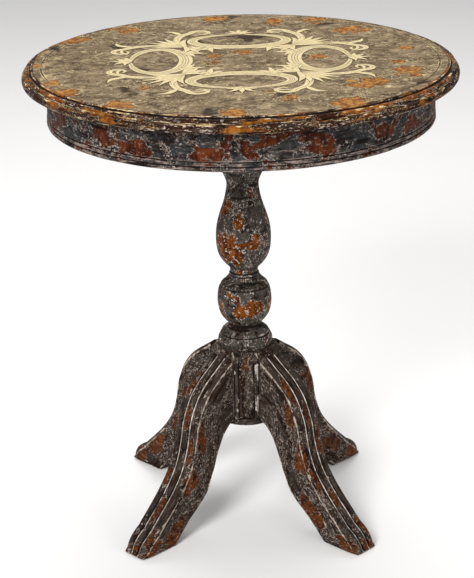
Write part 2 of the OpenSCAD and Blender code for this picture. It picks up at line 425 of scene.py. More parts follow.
def ramp(tree: Tree, value: Socket, bottom: float, top: float, ends: Point = (0.0, 1.0),
         shape: str = "LINEAR") -> Socket:
    """Goes from the first end to the second while the value goes from bottom to top."""
    return add(tree, "ShaderNodeMapRange", {
        "Value": value, "From Min": bottom, "From Max": top, "To Min": ends[0], "To Max": ends[1]},
        interpolation_type=shape).outputs[0]


def step(tree: Tree, value: Socket, level: float, soft: float, most: float = 1.0) -> Socket:
    """A soft step from 0 up to the most where the value passes the level."""
    return ramp(tree, value, level - soft, level + soft, (0.0, most), "SMOOTHSTEP")


def raised(tree: Tree, value: Socket, gain: float, more: Socket | float = 0.0) -> Socket:
    """The value times the gain, plus more."""
    return add(tree, "ShaderNodeMath", {0: value, 1: gain, 2: more}, operation="MULTIPLY_ADD").outputs[0]


def end(tree: Tree, colour: Socket, roughness: Socket | float, height: Socket | None = None,
        **sockets: float) -> None:
    """Ends a material with its shader.

    Args:
        tree: The material's node tree.
        colour: The base colour.
        roughness: The roughness, one number or an output.
        height: The relief in metres, or None for a flat surface.
        sockets: Constants of the shader's own sockets, with _ for the spaces of their names.
    """
    inputs = {"Base Color": colour, "Roughness": roughness, "IOR": 1.5}
    if height:
        bump = add(tree, "ShaderNodeBump", {"Height": height, "Strength": 1.0, "Distance": 1.0})
        inputs["Normal"] = bump.outputs[0]
    inputs.update({name.replace("_", " "): value for name, value in sockets.items()})
    add(tree, "ShaderNodeOutputMaterial", {
        "Surface": add(tree, "ShaderNodeBsdfPrincipled", inputs).outputs[0]})


@dataclass(frozen=True)
class Pattern:
    """A cloudy pattern whose blotches have a real size."""

    size: float  # millimetres
    detail: float = 3.0
    roughness: float = 0.55
    warp: float = 0.0
    stretch: Stretching = (1.0, 1.0, 1.0)
    seed: int = 0

    def field(self, tree: Tree, place: Socket, pulls: Pulls = ()) -> Socket:
        """Adds the pattern's nodes.

        Args:
            tree: The node tree.
            place: The place in metres.
            pulls: The values of wear and painted light that raise the pattern, and how much each raises it.

        Returns:
            The output that holds the pattern, about 0.2 to 0.8 where nothing raises it.
        """
        scale = 1 / (self.size * MM)
        shift = (self.seed * 3.71, self.seed * 5.13, self.seed * 7.39)
        spot = add(tree, "ShaderNodeMapping", {
            "Vector": place, "Location": shift, "Scale": tuple(scale / s for s in self.stretch)})
        amount = add(tree, "ShaderNodeTexNoise", {
            "Vector": spot.outputs[0], "Scale": 1.0, "Detail": self.detail,
            "Roughness": self.roughness, "Distortion": self.warp}).outputs[0]
        for name, gain in pulls:
            wear = add(tree, "ShaderNodeAttribute", attribute_name=name)
            amount = raised(tree, wear.outputs["Fac"], gain, amount)
        return amount


@dataclass(frozen=True)
class Coat:
    """One coat, kind of wear, painted shade or painted highlight over the coats below it."""

    tints: Tints
    pattern: Pattern
    level: float  # the pattern shows the coat where it is above this
    soft: float = 0.02
    opacity: float = 1.0
    pulls: Pulls = ()  # value from wear and painted light, and how much it brings the coat on
    gate: Pattern | None = None  # a broad pattern that keeps the coat to some places
    gate_level: float = 0.5
    gate_soft: float = 0.06
    gate_pulls: Pulls = ()
    depth: float = 0.0  # millimetres: below 0 is a pit
    roughness: float = 0.6
    tint_size: float = 7.0
    tint_stretch: Stretching = (1.0, 1.0, 1.0)

    def mask(self, tree: Tree, place: Socket) -> Socket:
        """Adds the nodes that say where the coat shows.

        Args:
            tree: The node tree.
            place: The place in metres.

        Returns:
            The output that holds the coat's cover from 0 to its opacity.
        """
        cover = step(tree, self.pattern.field(tree, place, self.pulls), self.level, self.soft, self.opacity)
        if not self.gate:
            return cover
        gate = step(tree, self.gate.field(tree, place, self.gate_pulls), self.gate_level, self.gate_soft)
        return add(tree, "ShaderNodeMath", {0: cover, 1: gate}, operation="MULTIPLY").outputs[0]


@dataclass(frozen=True)
class Distressed:
    """Milk paint over beech, chipped, rubbed and waxed: matt, uneven and broken by bare wood."""

    name: str
    ground: Tints
    broad: Pattern
    coats: tuple[Coat, ...]
    space: Space = Space.SOLID
    roughness: float = 0.62
    relief: float = 1.6  # the pits are drawn deeper than life, or they would not show
    tooth: Pattern = Pattern(2.2, 3.0, 0.6, seed=31)
    tooth_height: float = 0.22

    def material(self) -> Material:
        """Builds the material: the ground colour, then each coat with its colour, gloss and relief."""
        material, tree, place = begin(self.name, self.space)
        colour = blend(tree, ramp(tree, self.broad.field(tree, place), 0.32, 0.68), *self.ground)
        rough: Socket | float = self.roughness
        height: Socket | float = 0.0
        for number, coat in enumerate(self.coats):
            mask = coat.mask(tree, place)
            grain = Pattern(coat.tint_size, 2.0, stretch=coat.tint_stretch, seed=40 + number)
            share = ramp(tree, grain.field(tree, place), 0.36, 0.64)
            colour = blend(tree, mask, colour, blend(tree, share, *coat.tints))
            rough = add(tree, "ShaderNodeMix", {0: mask, 2: rough, 3: coat.roughness},
                        data_type="FLOAT").outputs[0]
            if coat.depth:
                height = raised(tree, mask, coat.depth * self.relief * MM, height)
        height = raised(tree, self.tooth.field(tree, place), self.tooth_height * self.relief * MM, height)
        end(tree, colour, rough, height, Specular_IOR_Level=0.05)
        return material


def chips(pattern: Pattern, level: float, edge: Tints, wood: Tints, pulls: Pulls, crumb: Tints,
          crumb_size: float, rim: float, outline: float, inside: float = 0.0) -> tuple[Coat, ...]:
    """Paint that has flaked off down to the stained wood.

    Args:
        pattern: The shape of the flakes.
        level: How rare they are.
        edge: The dark stain at the edge of a flake.
        wood: The wood inside it.
        pulls: The wear values that bring flakes on.
        crumb: The pale undercoat that shows round a flake and in crumbs near it.
        crumb_size: The size of a crumb in millimetres.
        rim: How wide the dark edge is, on the pattern's scale.
        outline: How strongly the broken pale line round a flake shows.
        inside: How strongly crumbs show inside a flake too.

    Returns:
        The crumbs round a flake, the pale line, the dark edge, the bare wood and the crumbs in it.
    """
    seed = pattern.seed + 60
    pale = partial(Coat, crumb, gate=pattern, gate_pulls=pulls, roughness=0.7, tint_size=4.0)
    flake = (
        pale(Pattern(crumb_size, 2.0, 0.6, 0.3, seed=seed + 1), 0.59, 0.012, 0.95,
             gate_level=level - 3.2 * rim, gate_soft=0.03, depth=0.1),
        pale(Pattern(crumb_size * 2, 3.0, 0.65, seed=seed), 0.49, 0.03, outline,
             gate_level=level - 0.8 * rim, gate_soft=0.008, depth=0.08),
        Coat(edge, pattern, level, 0.006, 0.97, pulls, depth=-0.25, roughness=0.55, tint_size=5.0),
        Coat(wood, pattern, level + rim, 0.02, 1.0, pulls, depth=-0.08, roughness=0.5,
             tint_stretch=(1.0, 1.0, 3.0)))
    if inside:
        flake += (pale(Pattern(crumb_size * 1.5, 3.0, 0.65, 0.5, seed=seed + 2), 0.6, 0.012, inside,
                       gate_level=level, gate_soft=0.02, depth=0.12),)
    return flake


def dirt_and_shade(tints: Tints, size: float, stretch: Stretching, seed: int, soft: float = 0.05,
         opacity: float = 0.97) -> Coat:
    """Dark dirt and painted shade that fill the grooves, in blotches of the given size."""
    return Coat(tints, Pattern(size, 3, 0.5, 0.0, stretch, seed), 0.64, soft, opacity, (("groove", 0.42),))


RING = (6.0, 6.0, 0.8)  # flakes lie round a turned edge, not up it

TOP_PAINT = Distressed(
    "milk_paint_taupe", ("#5d4d38", "#86745a"), Pattern(60, 4, 0.6, 0.6, (1.2, 0.9, 1), 1), (
        # Brushed-out darker coat: the cloudy mottle of the flat
        Coat(("#463929", "#534430"), Pattern(24, 6, 0.7, 0.8, (1.15, 0.9, 1), 2), 0.53, 0.04, 0.75),
        # Chalky bloom between the brush marks
        Coat(("#ab977a", "#938160"), Pattern(16, 6, 0.72, 0.6, (1.2, 0.9, 1), 3), 0.555, 0.035, 0.7),
        # Brown stain pressed into the tooth
        Coat(("#2c1f14", "#3e2a18"), Pattern(8, 5, 0.7, 0.8, (1.2, 1, 1), 4), 0.565, 0.012, 0.85,
             gate=Pattern(48, 3, seed=5), gate_level=0.49, depth=-0.08),
        # Flecks of the cream undercoat
        Coat(("#d0be94", "#a8966f"), Pattern(4.6, 3, 0.65, 0.6, (1.2, 1, 1), 41), 0.60, 0.012, 0.85,
             gate=Pattern(40, 3, seed=42), gate_level=0.5),
        # The scored ring: a cream arris on each side of a line of dirt and painted shade
        Coat(("#d2c092", "#a08a5e"), Pattern(6, 4, 0.6, 0.1, RING, 43), 0.66, 0.04, 0.85,
             (("arris", 0.42),)),
        dirt_and_shade(("#1d130b", "#2f2013"), 10, RING, 44, 0.04, 0.9),
        *chips(Pattern(30, 5, 0.66, 1.1, (1.25, 1.0, 1), 6), 0.70, ("#3a1a0b", "#241008"),
               ("#6e3d12", "#b07c38"), (("rub", 0.34),), ("#d6c598", "#a08d68"), 3.6, 0.03, 0.9),
    ))

RIM_PAINT = Distressed(
    "milk_paint_rim", ("#2b201a", "#40342c"), Pattern(30, 4, 0.6, 0.4, RING, 7), (
        # Brown stain that shows where the paint is thin
        Coat(("#150a06", "#38190b"), Pattern(8, 5, 0.66, 0.3, RING, 8), 0.46, 0.03, 0.95),
        # Worn golden wood in streaks along the moulding
        *chips(Pattern(9, 4, 0.6, 0.4, RING, 9), 0.575, ("#2c0e08", "#401708"),
               ("#5c2c0c", "#8f5a1e"), (("rub", 0.22),), ("#bcab8c", "#8d7a60"), 2.4, 0.024, 0.45),
        # Pinkish lime wax in crumbs on the torus
        Coat(("#c9b8aa", "#8d7e73"), Pattern(3.0, 3, 0.62, 0.3, (2.6, 2.6, 0.9), 10), 0.59, 0.02, 0.9,
             gate=Pattern(14, 2, stretch=RING, seed=11), gate_level=0.52, depth=0.05),
        # Arrises rubbed down to the cream undercoat, in broken lines round the edge
        Coat(("#e2d2a9", "#a8834d"), Pattern(5, 4, 0.65, 0.1, RING, 12), 0.71, 0.025, 0.95,
             (("arris", 0.23),)),
        # Black dirt and painted shade in the quirks
        replace(dirt_and_shade(("#0b0604", "#1a0e09"), 8, RING, 13, 0.04), level=0.63),
    ))

FRIEZE_PAINT = Distressed(
    "milk_paint_slate", ("#27292b", "#353432"), Pattern(30, 4, 0.6, 0.4, (1.5, 1.5, 1), 14), (
        Coat(("#120c0a", "#1f130e"), Pattern(18, 5, 0.65, 0.5, (1.6, 1.6, 1), 15), 0.53, 0.03, 0.9),
        # Blue-grey chalk where the last coat has powdered
        Coat(("#57575b", "#454343"), Pattern(7, 6, 0.72, 0.4, (1.4, 1.4, 1), 16), 0.575, 0.03, 0.75),
        Coat(("#b0a69e", "#7d736b"), Pattern(3.0, 3, 0.62, 0.3, (1.3, 1.3, 1), 18), 0.60, 0.015, 0.95,
             gate=Pattern(34, 2, seed=19), gate_level=0.55, depth=0.05),
        *chips(Pattern(30, 5, 0.6, 1.0, (1.5, 1.5, 1), 17), 0.565, ("#220a05", "#2e0f07"),
               ("#290d05", "#5a2a10"), (("rub", 0.2),), ("#b5a79b", "#74645a"), 3.0, 0.022, 0.95, 0.3),
        # The reeds along the lower edge are rubbed to a pinkish grey, with painted highlights on their
        # crowns
        Coat(("#93837a", "#544740"), Pattern(4, 5, 0.66, 0.1, RING, 20), 0.63, 0.04, 0.9,
             (("arris", 0.20),)),
        # Dirt and painted shade in the grooves between the reeds
        dirt_and_shade(("#0b0706", "#1a100c"), 10, RING, 21),
    ))

COLUMN_PAINT = Distressed(
    "milk_paint_pewter", ("#37322d", "#46403a"), Pattern(24, 4, 0.6, 0.5, seed=22), (
        Coat(("#140d0a", "#231811"), Pattern(18, 6, 0.66, 0.7, (1, 1, 1.3), 23), 0.525, 0.035, 0.92),
        Coat(("#5f5853", "#4d4743"), Pattern(8, 6, 0.72, 0.4, (1, 1, 1.3), 24), 0.56, 0.035, 0.7),
        Coat(("#c9c0b8", "#81766e"), Pattern(2.9, 3, 0.62, 0.3, (1, 1, 1.3), 26), 0.60, 0.012, 0.95,
             gate=Pattern(28, 2, seed=27), gate_level=0.53, depth=0.06),
        *chips(Pattern(26, 5, 0.64, 0.9, (1, 1, 1.6), 25), 0.605, ("#210a05", "#30110a"),
               ("#3a1604", "#7c420d"), (("rub", 0.32),), ("#d8cec4", "#82766c"), 3.2, 0.024, 0.9, 0.95),
        # Pale lines where the turned edges have rubbed
        Coat(("#a4988f", "#5e544d"), Pattern(8, 4, 0.65, 0.1, RING, 28), 0.69, 0.03, 0.9,
             (("arris", 0.23),)),
        # Dirt and painted shade in the hollows of the turning
        dirt_and_shade(("#0a0605", "#1a110d"), 8, RING, 29, opacity=0.95),
    ))

LEG_PAINT = Distressed(
    "milk_paint_umber", ("#2b221d", "#393029"), Pattern(30, 4, 0.6, 0.5, (3.0, 1, 1), 30), (
        Coat(("#120a07", "#2a160c"), Pattern(12, 6, 0.64, 0.4, (5, 0.9, 1), 32), 0.52, 0.035, 0.9),
        Coat(("#5a4f48", "#463c36"), Pattern(6, 6, 0.7, 0.3, (4.5, 1, 1), 33), 0.57, 0.035, 0.7),
        # Salt-and-pepper lime wax in the open grain
        Coat(("#a4988e", "#675c54"), Pattern(2.6, 3, 0.62, 0.2, (1.6, 1, 1), 35), 0.57, 0.015, 0.9,
             gate=Pattern(34, 3, stretch=(1.8, 1, 1), seed=36), gate_level=0.55,
             gate_pulls=(("flank", 0.085),), depth=0.05),
        *chips(Pattern(18, 5, 0.62, 0.8, (2.4, 1, 1), 34), 0.655, ("#210a05", "#2e0f07"),
               ("#2c1208", "#5f310f"), (("rub", 0.33),), ("#b5a89c", "#6c5f55"), 2.8, 0.024, 0.95, 0.4),
        # Dirt and painted shade beside the grooves
        dirt_and_shade(("#080504", "#150d0a"), 12, (3, 1, 1), 37, opacity=0.95),
        # The nearly unbroken pale line of wax and painted highlight in the bottom of each groove
        Coat(("#dcd2c8", "#94877b"), Pattern(16, 4, 0.65, 0.0, (2, 1, 1), 38), 0.74, 0.04, 0.95,
             (("line", 0.36),)),
        # The broken pale line of the rubbed side corners
        Coat(("#c4b6a6", "#75675b"), Pattern(8, 4, 0.65, 0.2, (3, 1, 1), 39), 0.67, 0.04, 0.95,
             (("arris", 0.26),)),
    ), Space.FLOW)


@dataclass(frozen=True)
class PlanedWood:
    """Stained beech off the plane: an even brown with long darker pores, dull and dry."""

    name: str
    light: str
    dark: str
    grain_axis: int  # 0, 1 or 2 for grain along X, Y or Z
    pore: str = "#2a170d"
    roughness: float = 0.68

    def material(self) -> Material:
        """Builds the material from two grain patterns, drawn 4 times as coarse as real pores."""
        material, tree, place = begin(self.name)
        along = tuple(14.0 if axis == self.grain_axis else 1.0 for axis in range(3))
        bands = Pattern(16, 3, 0.5, 0.6, along, 51).field(tree, place)
        pores = Pattern(1.6, 2, 0.6, 0.0, along, 52).field(tree, place)
        pore = ramp(tree, pores, 0.56, 0.64, (0.0, 0.6))
        body = blend(tree, ramp(tree, bands, 0.35, 0.65), self.dark, self.light)
        end(tree, blend(tree, pore, body, self.pore), self.roughness, raised(tree, pore, -0.25 * MM))
        return material


@dataclass(frozen=True)
class DrawnMetal:
    """Drawn metal that has been handled for years: bright where it rubs, dull and brown elsewhere."""

    name: str
    bright: str
    tarnish: str
    roughness: tuple[float, float]

    def material(self) -> Material:
        """Builds the material from a tarnish pattern of 6 mm clouds and 0.8 mm specks."""
        material, tree, place = begin(self.name)
        cloud = Pattern(6, 4, 0.6, 0.3, seed=61).field(tree, place)
        specks = Pattern(0.8, 2, 0.6, seed=62).field(tree, place)
        colour = blend(tree, ramp(tree, cloud, 0.4, 0.62), self.bright, self.tarnish)
        end(tree, colour, ramp(tree, cloud, 0.4, 0.62, self.roughness), raised(tree, specks, 0.06 * MM),
            Metallic=1.0)
        return material


@dataclass(frozen=True)
class ScrollPaint:
    """Thick cream milk paint laid on with a brush: raised, silky, with brown glaze in its lines."""

    name: str = "milk_paint_cream"
    body: Tints = ("#d6c596", "#c0ab78")
    glaze: str = "#3a2a16"

    def material(self) -> Material:
        """Builds the material: 6 mm clouds in the cream, and glaze where the stroke is cut."""
        material, tree, place = begin(self.name)
        cloud = Pattern(6, 4, 0.65, seed=71).field(tree, place)
        specks = Pattern(2.2, 3, 0.6, seed=72).field(tree, place)
        cream = blend(tree, ramp(tree, cloud, 0.4, 0.62), *self.body)
        cut = add(tree, "ShaderNodeAttribute", attribute_name="cut")
        glazed = add(tree, "ShaderNodeMath", {0: cut.outputs["Fac"], 1: raised(tree, specks, 0.8, -0.4)},
                     operation="ADD", use_clamp=True)
        end(tree, blend(tree, glazed.outputs[0], cream, self.glaze), 0.55, raised(tree, specks, 0.25 * MM),
            Specular_IOR_Level=0.3)
        return material


@dataclass(frozen=True)
class StudioPaper:
    """Seamless matt paper: a plain pale sheet with a trace of unevenness."""

    name: str = "studio_paper"
    tints: Tints = ("#f3f2f0", "#f7f6f4")

    def material(self) -> Material:
        """Builds the material from two close tints in 400 mm clouds."""
        material, tree, place = begin(self.name)
        end(tree, blend(tree, Pattern(400, 2).field(tree, place), *self.tints), 0.9, IOR=1.45,
            Specular_IOR_Level=0.05)
        return material


# ---- The tilting top ----


def worn_places(count: int, first: float, radii: Sequence[float], heights: Sequence[float],
                reaches: Sequence[Point], strengths: Sequence[float] = (1.0, 0.9)) -> tuple[Rub, ...]:
    """Worn places spread round a turned piece, a golden turn apart.

    Args:
        count: The number of places.
        first: The first one's azimuth in degrees.
        radii: Distances from the axis, which the places take in turn, as they do the next three.
        heights: Heights above the floor.
        reaches: Half sizes, sideways and upwards.
        strengths: How deeply they are worn.

    Returns:
        The places.
    """
    return tuple(Rub(first + GOLDEN_TURN * k, radii[k % len(radii)], heights[k % len(heights)],
                     reaches[k % len(reaches)], strengths[k % len(strengths)]) for k in range(count))


@dataclass
class RoundTop:
    """The round top: a flat with a fine scored ring, an ovolo, a quirk and a big torus at the edge."""

    body: str = "top"
    segments: int = 432
    score_in: float = 30.0  # distance from the edge to the scored ring
    torus: tuple[float, float] = (3.2, 6.3)
    rubs: tuple[Rub, ...] = (
        # the flat near the edge, the flat inside, and the torus
        *worn_places(17, -60, (300, 262, 308, 236, 286), (TABLE_H,),
                     ((46, 30), (30, 30), (38, 30), (22, 30)), (1.0, 0.85, 0.95)),
        *worn_places(7, 90, (50, 205, 120), (TABLE_H,), ((26, 20), (20, 20)), (0.8, 0.9)),
        *worn_places(6, -92, (TOP_R,), (TOP_UNDER + 7,), ((26, 9), (14, 9)), (0.9, 1.0)))

    def stretches(self) -> list[Stretch]:
        """The turned outline from the middle of the underside to the middle of the flat."""
        r, z = TOP_R, TABLE_H
        wide, tall = self.torus
        return [
            Stretch([(0, TOP_UNDER), (r - wide - 4, TOP_UNDER)], 40, 2),
            Stretch([(r - wide - 4, TOP_UNDER), (r - wide, TOP_UNDER),
                     *oval(r - wide, TOP_UNDER + tall, wide, tall, -90, 90),
                     (r - 5.6, TOP_UNDER + 12.6)], 0.6, 1, moulded=True),
            Stretch([(r - 5.6, TOP_UNDER + 12.6),
                     *oval(r - 10, TOP_UNDER + 13, 6.2, 6.6, 0, 76),
                     (r - 10.5, z - 3.2), (r - 13.6, z - 3.4), (r - 14.2, z - 0.4),
                     (r - 14.6, z), (r - 18, z)], 0.6, 1, 0.25, True),
            Stretch([(r - 18, z), (r - self.score_in + 1, z), (r - self.score_in, z - 0.8),
                     (r - self.score_in - 1, z), (r - self.score_in - 6, z)], 0.6, 0, moulded=True),
            Stretch([(r - self.score_in - 6, z), (0, z)], 5, 0),
        ]

    def build(self) -> Piece:
        """Turns the top and dresses it."""
        turning = Turning(self.stretches(), self.segments, dent=0.35, rubs=self.rubs)
        piece = turning.shell().piece("moulded_top", [
            TOP_PAINT.material(), RIM_PAINT.material(),
            PlanedWood("stained_beech_underside", "#6a4426", "#4b2f1b", 0).material()])
        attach(piece, self.body)
        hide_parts("top_board")
        return piece


@dataclass
class Frieze:
    """The band under the top, bent from thin wood, with two reeds along its lower edge."""

    body: str = "top"
    segments: int = 384
    reed: float = 7.0
    quirk: float = 1.9
    thick: float = 20.0
    set_back: float = 0.8  # room for the reeds and the dents inside the piece's own box
    rubs: tuple[Rub, ...] = worn_places(
        19, -88, (295,), (FRIEZE_LOW + 33, FRIEZE_LOW + 24, FRIEZE_LOW + 40, FRIEZE_LOW + 30),
        ((29, 16), (20, 14), (16, 13), (24, 16), (11, 12)), (1.0, 0.9, 0.9))

    def build(self) -> Piece:
        """Bends the band and dresses its two faces."""
        r = high("frieze_band", 0) - self.set_back
        inner = r - self.thick
        z = FRIEZE_LOW
        face = r - self.quirk
        outline = [
            (face - 3, z), (face, z),
            *oval(face, z + self.reed / 2, self.quirk + 0.8, self.reed / 2 - 0.3, -88, 88),
            (face - 0.4, z + self.reed),
            *oval(face, z + 1.5 * self.reed, self.quirk + 0.4, self.reed / 2 - 0.3, -88, 88),
            (face - 0.4, z + 2 * self.reed), (r - 0.4, z + 2 * self.reed + 0.8), (r - 0.4, TOP_UNDER)]
        turning = Turning([
            Stretch([(inner, z), (face - 3, z)], 3, 1), Stretch(outline, 0.7, 0, moulded=True),
            Stretch([(r - 0.4, TOP_UNDER), (inner, TOP_UNDER)], 10, 1),
            Stretch([(inner, TOP_UNDER), (inner, z + 1)], 10, 1)],
            self.segments, closed=True, dent=0.5, dent_size=34, rubs=self.rubs)
        piece = turning.shell().piece("bent_frieze", [
            FRIEZE_PAINT.material(),
            PlanedWood("stained_beech_inside", "#5b3b22", "#412917", 2).material()])
        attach(piece, self.body)
        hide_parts("frieze_band")
        return piece


@dataclass(frozen=True)
class Stroke:
    """One brush stroke of the scrollwork: a line in the plane of the top and its swelling width."""

    line: list[Point]
    widths: tuple[float, float, float]  # start, widest and end
    swell: float = 0.5  # where along the stroke it is widest
    lines: int = 2  # glaze lines scratched along it

    def mirrored(self) -> "Stroke":
        """The same stroke on the scroll's other side."""
        return replace(self, line=[(-sideways, out) for sideways, out in self.line])

    def width(self, t: float) -> float:
        """The stroke's width at the share t of its length."""
        start, most, end = self.widths
        if t < self.swell:
            s = t / self.swell
            return start + (most - start) * math.sin(s * math.pi / 2)
        s = (t - self.swell) / (1 - self.swell)
        return most + (end - most) * (1 - math.cos(s * math.pi / 2))


@dataclass
class Scrollwork:
    """A plain wreath painted on the flat: four loops with curls, and palmettes between them."""

    body: str = "top"
    count: int = 4
    first_azimuth: float = 180.0
    loop_out: float = 124.0  # from the top's middle to a loop's middle
    loop: tuple[float, float] = (74.0, 42.0)
    rise: float = 0.55  # how far the paint stands up
    layer: float = 0.03  # how much higher each stroke lies than the one before
    step: float = 2.0
    outline: float = 1.5  # width of the brown glaze line round a stroke

    def volute(self, x: float, y: float, r0: float, r1: float, a0: float, a1: float) -> list[Point]:
        """A curl whose radius goes from r0 to r1 as its angle goes from a0 to a1."""
        steps = max(6, int(abs(a1 - a0) / 15))
        return [polar((x, y), math.radians(a0 + (a1 - a0) * k / steps), r0 + (r1 - r0) * k / steps)
                for k in range(steps + 1)]

    def fan(self, root: Point, aim: float, spread: float, count: int, length: float,
            width: float, bend: float = 30.0) -> list[Stroke]:
        """A fan of tapering leaves.

        Args:
            root: Where the leaves start.
            aim: The direction of the middle leaf in degrees.
            spread: The angle from the first leaf to the last.
            count: The number of leaves.
            length: The longest leaf.
            width: The widest leaf.
            bend: How far the tips of the first and the last leaf turn away from the middle one.

        Returns:
            The strokes, from the first to the last.
        """
        leaves = []
        for k in range(count):
            share = k / (count - 1) - 0.5
            angle = math.radians(aim + spread * share)
            size = length * (1 - 0.9 * share * share)
            turn = angle + math.radians(2 * bend * share)
            mid = polar(root, angle, 0.55 * size)
            tip = polar(mid, turn, 0.45 * size)
            leaves.append(Stroke(curve([root, mid, tip], 6), (width * 0.6, width, 1.4), 0.45, 0))
        return leaves

    def strokes(self) -> list[Stroke]:
        """The strokes of one scroll; the first number is sideways and the second outwards."""
        r = self.loop_out
        wide, tall = self.loop
        corner = 0.68 * r  # where two scrolls meet, on the diagonal between them
        curl = r + tall + 14
        side = [
            # the stem that runs up beside the loop and curls over it
            Stroke(curve([(corner, corner), (wide + 24, r - 4), (wide + 20, r + tall - 8),
                          (wide + 4, curl)], 8) + self.volute(wide - 14, curl, 18, 7, 0, 320),
                   (6, 14, 5), 0.4, 1),
            # the leaf that the stem sheds outwards
            Stroke(curve([(wide + 18, r + tall), (wide + 30, curl + 8), (wide + 48, curl + 14)], 6),
                   (5, 11, 1.4), 0.4, 0),
            # the small leaf inside the curl
            Stroke(curve([(wide + 4, curl), (wide - 16, curl + 2), (wide - 34, curl - 10)], 6),
                   (3, 7, 1.4), 0.5, 0),
            # leaves on the inner side of the loop
            *self.fan((0.62 * wide, r - 0.8 * tall), -76, 92, 4, 42, 11),
        ]
        return [
            # the loop, a broad crescent on the side of the top's middle
            Stroke(oval(0, r, wide, tall, 90, 450, 48), (6, 23, 6), 0.5, 3),
            *side, *(stroke.mirrored() for stroke in side),
            # the palmette between this scroll and the next, and the bud that faces the middle
            *self.fan((corner, corner), 45, 72, 7, 72, 12, 24),
            *self.fan((corner, corner), 225, 70, 4, 46, 11, 24),
            # the bud outside the loop
            *self.fan((0, r + tall - 2), 90, 110, 5, 34, 10, 30),
        ]

    def lay(self, shell: Shell, stroke: Stroke, turn: float, lift: float) -> None:
        """Lays one stroke into the mesh.

        Args:
            shell: The mesh of the whole scroll.
            stroke: The stroke.
            turn: The scroll's azimuth in degrees.
            lift: How much higher than the first stroke it lies, in millimetres.
        """
        count = max(5, round(length_of(stroke.line) / self.step))
        line = evenly(stroke.line, count)
        ca, sa = math.cos(math.radians(turn)), math.sin(math.radians(turn))
        last: list[int] = []
        for i, (t, out) in enumerate(line):
            a, b = line[max(i - 1, 0)], line[min(i + 1, count - 1)]
            run = math.dist(a, b) or 1.0
            normal = ((a[1] - b[1]) / run, (b[0] - a[0]) / run)
            half = stroke.width(i / (count - 1)) / 2
            top = (self.rise + lift) * min(1.0, half / 2.5) ** 0.5
            row = []
            for x, height, cut in self.columns(stroke.lines, half):
                st, so = t + normal[0] * half * x, out + normal[1] * half * x
                place = Vector((so * ca - st * sa, so * sa + st * ca, TABLE_H - 0.05 + top * height))
                row.append(shell.add_point(place, cut=cut))
            if last:
                shell.join_rings(last, row, closed=False)
            last = row

    def columns(self, lines: int, half: float) -> list[tuple[float, float, float]]:
        """The section of a stroke.

        Args:
            lines: The number of glaze lines scratched along the stroke.
            half: Half the stroke's width there, in millimetres.

        Returns:
            Place across from -1 to 1, height and glaze of each point.
        """
        inner = max(0.35, 1 - self.outline / half)
        rows = [(-1.0, 0.0, 1.0), (-(0.7 + 0.3 * inner), 0.985, 1.0), (-inner, 1.0, 0.0)]
        for k in range(lines):
            x = inner * (2 * (k + 1) / (lines + 1) - 1) * 0.85
            share = min(1.0, max(0.0, half - 2) / 3)
            near = min(0.1, 0.9 / half)
            rows += [(x - near, 1.0, 0.0), (x, 0.9, share), (x + near, 1.0, 0.0)]
        return rows + [(inner, 1.0, 0.0), (0.7 + 0.3 * inner, 0.985, 1.0), (1.0, 0.0, 1.0)]

    def build(self) -> list[Piece]:
        """Paints the scrolls, each its own piece."""
        paint = ScrollPaint().material()
        pieces = []
        for k in range(self.count):
            shell = Shell()
            for number, stroke in enumerate(self.strokes()):
                self.lay(shell, stroke, self.first_azimuth + 360 / self.count * k, self.layer * number)
            piece = shell.piece(f"painted_scroll_{k + 1}", [paint], 80)
            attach(piece, self.body)
            pieces.append(piece)
        return pieces


# ---- The stand ----


